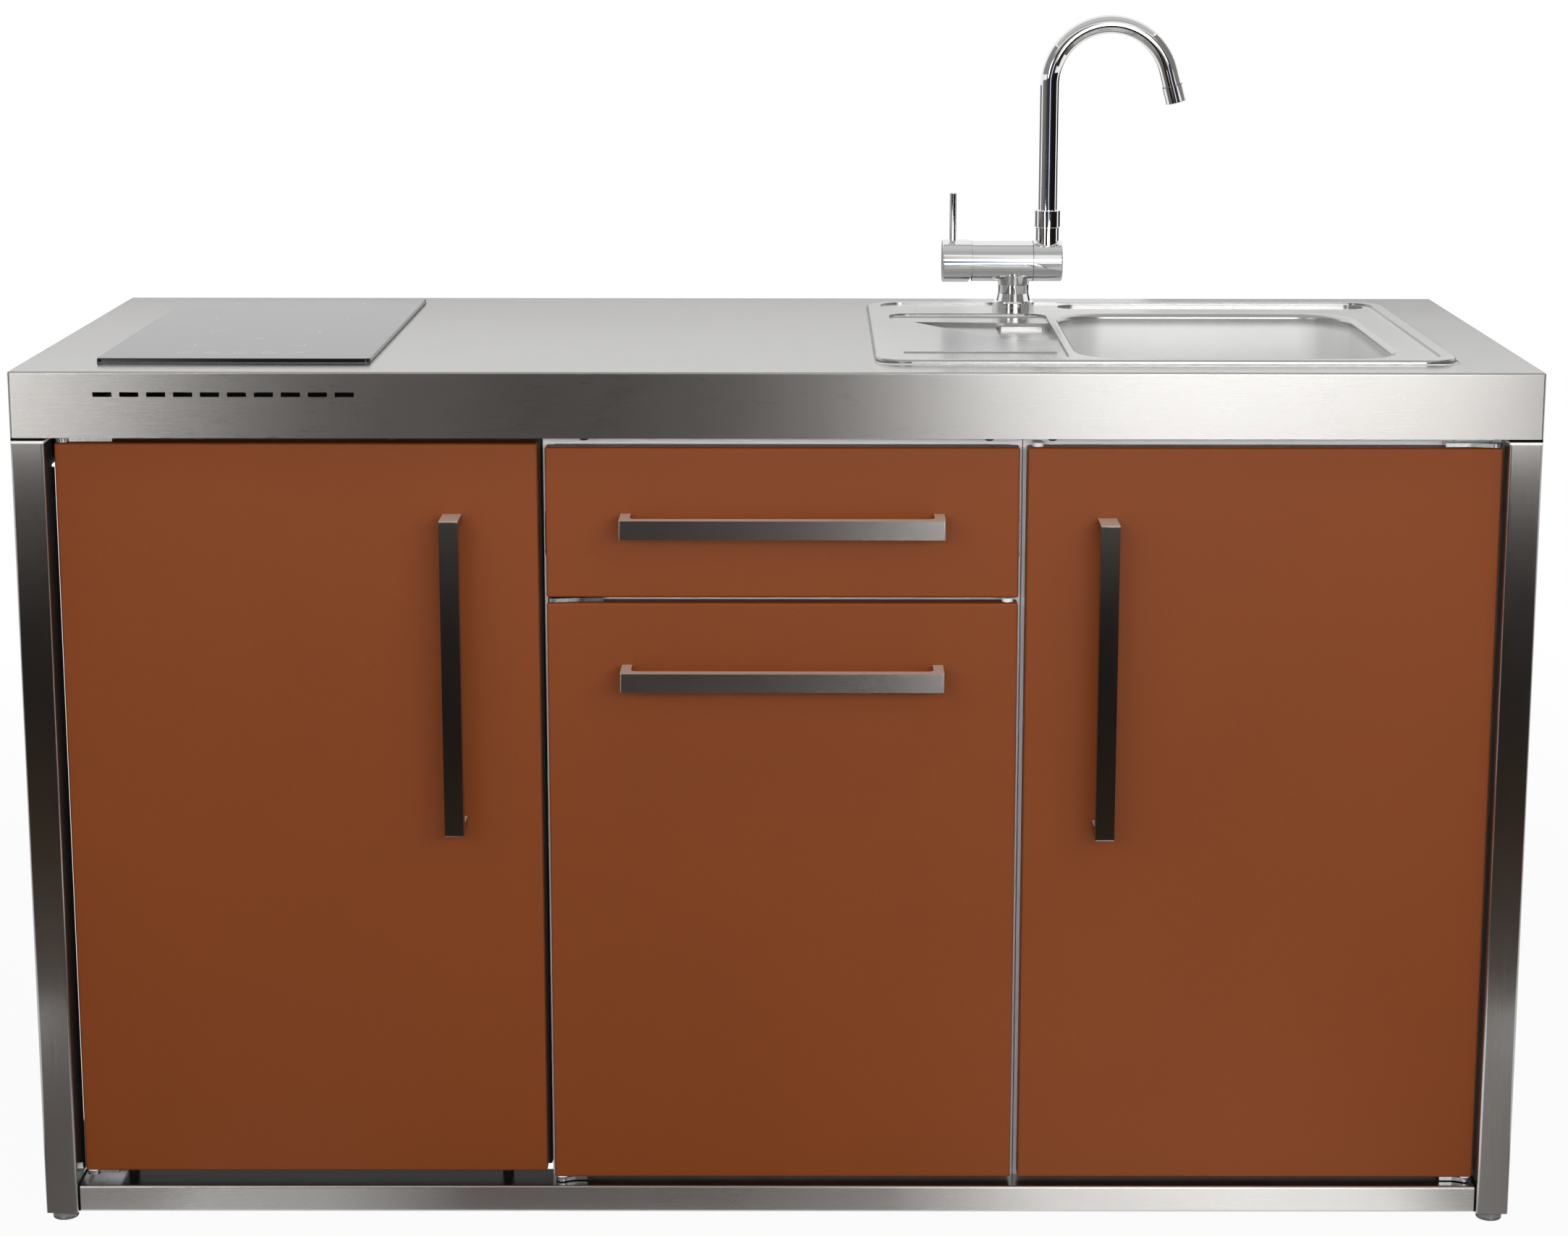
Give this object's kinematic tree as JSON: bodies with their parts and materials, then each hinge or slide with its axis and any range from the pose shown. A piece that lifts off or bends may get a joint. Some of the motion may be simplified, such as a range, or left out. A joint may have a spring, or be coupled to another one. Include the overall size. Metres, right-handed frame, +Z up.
{
  "type": "kitchenette unit with sink and hob",
  "caption": "Free-standing steel kitchenette: worktop with hob, sink and fold-down tap over a refrigerator, a drawer and cupboards in a tube frame.",
  "frame": {"origin": "centre of the overall box on the floor", "axes": "+Z up, fronts and handles face -Y, +X to the right as seen from the front, hob on the left"},
  "size_m": [1.6, 0.647, 1.2899],
  "materials": {
    "worktop_steel": "satin",
    "moisture_board": "matte",
    "frame_steel": "satin",
    "grey_plastic": "matte",
    "cabinet_grey": "satin",
    "zinc": "satin",
    "white_plastic": "satin",
    "door_brown": "satin",
    "honeycomb": "matte",
    "gasket_grey": "matte",
    "clear_plastic": "gloss",
    "handle_steel": "satin",
    "dark_paint": "satin",
    "shelf_glass": "gloss",
    "hob_glass": "gloss",
    "hob_tray": "satin",
    "heater_ceramic": "matte",
    "board_green": "satin",
    "sink_steel": "satin",
    "chrome": "gloss",
    "brass": "satin",
    "cartridge_plastic": "satin"
  },
  "bodies": {
    "unit": {"worktop": "worktop_steel", "worktop_core": "moisture_board", "left_side_frame": "frame_steel", "right_side_frame": "frame_steel", "levelling_feet": "grey_plastic", "frame_rails": "frame_steel", "middle_cabinet": "cabinet_grey", "middle_shelf": "cabinet_grey", "right_cabinet": "cabinet_grey", "hinge_brackets": "zinc", "door_catches": "white_plastic", "drawer_outer_runners": "zinc", "fridge_case": "dark_paint", "fridge_liner": "white_plastic", "fridge_ribs": "white_plastic", "fridge_shelves": "shelf_glass", "fridge_compressor": "dark_paint", "fridge_condenser": "dark_paint", "hob_glass": "hob_glass", "hob_casing": "hob_tray", "hob_heaters": "heater_ceramic", "hob_control_board": "board_green", "sink": "sink_steel", "sink_clips": "zinc", "sink_waste": "sink_steel", "waste_pipework": "white_plastic", "tap_base_ring": "chrome", "tap_body": "chrome", "tap_fixing": "brass", "tap_cartridge": "cartridge_plastic"},
    "left_door": {"left_door_skin": "door_brown", "left_door_core": "honeycomb", "left_door_liner": "white_plastic", "left_door_gasket": "gasket_grey", "left_door_shelves": "clear_plastic", "left_door_handle": "handle_steel", "left_door_handle_screws": "zinc"},
    "middle_door": {"middle_door_skin": "door_brown", "middle_door_core": "honeycomb", "middle_door_handle": "handle_steel", "middle_door_handle_screws": "zinc"},
    "right_door": {"right_door_skin": "door_brown", "right_door_core": "honeycomb", "right_door_handle": "handle_steel", "right_door_handle_screws": "zinc"},
    "drawer": {"drawer_front": "door_brown", "drawer_handle": "handle_steel", "drawer_handle_screws": "zinc", "drawer_box": "cabinet_grey", "drawer_inner_runners": "zinc"},
    "runners": {"drawer_middle_runners": "zinc"},
    "thermostat": {"thermostat_knob": "white_plastic"},
    "strainer": {"strainer_basket": "sink_steel"},
    "lever_spindle": {"tap_spindle": "brass"},
    "lever": {"tap_lever_cap": "chrome", "tap_lever_pin": "chrome"},
    "fold_section": {"tap_fold_joint": "chrome"},
    "spout": {"tap_swivel_ring": "chrome", "tap_spout": "chrome", "tap_aerator": "chrome"}
  },
  "joints": [
    {"name": "left_door_hinge", "type": "hinge", "parent": "unit", "child": "left_door", "pos_m": [-0.75, -0.2755, 0], "axis": [0, 0, -1], "range_deg": [0, 110]},
    {"name": "middle_door_hinge", "type": "hinge", "parent": "unit", "child": "middle_door", "pos_m": [-0.236, -0.2755, 0], "axis": [0, 0, -1], "range_deg": [0, 105]},
    {"name": "right_door_hinge", "type": "hinge", "parent": "unit", "child": "right_door", "pos_m": [0.754, -0.2755, 0], "axis": [0, 0, 1], "range_deg": [0, 100]},
    {"name": "drawer_slide", "type": "slide", "parent": "unit", "child": "drawer", "axis": [0, -1, 0], "range_m": [0, 0.4]},
    {"name": "runner_slide", "type": "slide", "parent": "unit", "child": "runners", "axis": [0, -1, 0], "range_m": [0, 0.2]},
    {"name": "thermostat_turn", "type": "hinge", "parent": "unit", "child": "thermostat", "pos_m": [-0.2885, -0.098, 0.7728], "axis": [-1, 0, 0], "range_deg": [0, 300]},
    {"name": "strainer_lift", "type": "slide", "parent": "unit", "child": "strainer", "axis": [0, 0, 1], "range_m": [0, 0.1]},
    {"name": "lever_turn", "type": "hinge", "parent": "unit", "child": "lever_spindle", "pos_m": [0.228, 0.2035, 1], "axis": [1, 0, 0], "range_deg": [-45, 45]},
    {"name": "lever_tilt", "type": "hinge", "parent": "lever_spindle", "child": "lever", "pos_m": [0.2277, 0.2035, 0.987], "axis": [0, -1, 0], "range_deg": [0, 20]},
    {"name": "spout_fold", "type": "hinge", "parent": "unit", "child": "fold_section", "pos_m": [0.3, 0.2035, 1], "axis": [1, 0, 0], "range_deg": [0, 90]},
    {"name": "spout_swivel", "type": "hinge", "parent": "fold_section", "child": "spout", "pos_m": [0.31755, 0.2035, 1.04], "axis": [0, 0, 1], "range_deg": [-120, 60]}
  ],
  "couplings": [
    {"joint": "runner_slide", "follows": "drawer_slide", "ratio": 0.5}
  ]
}
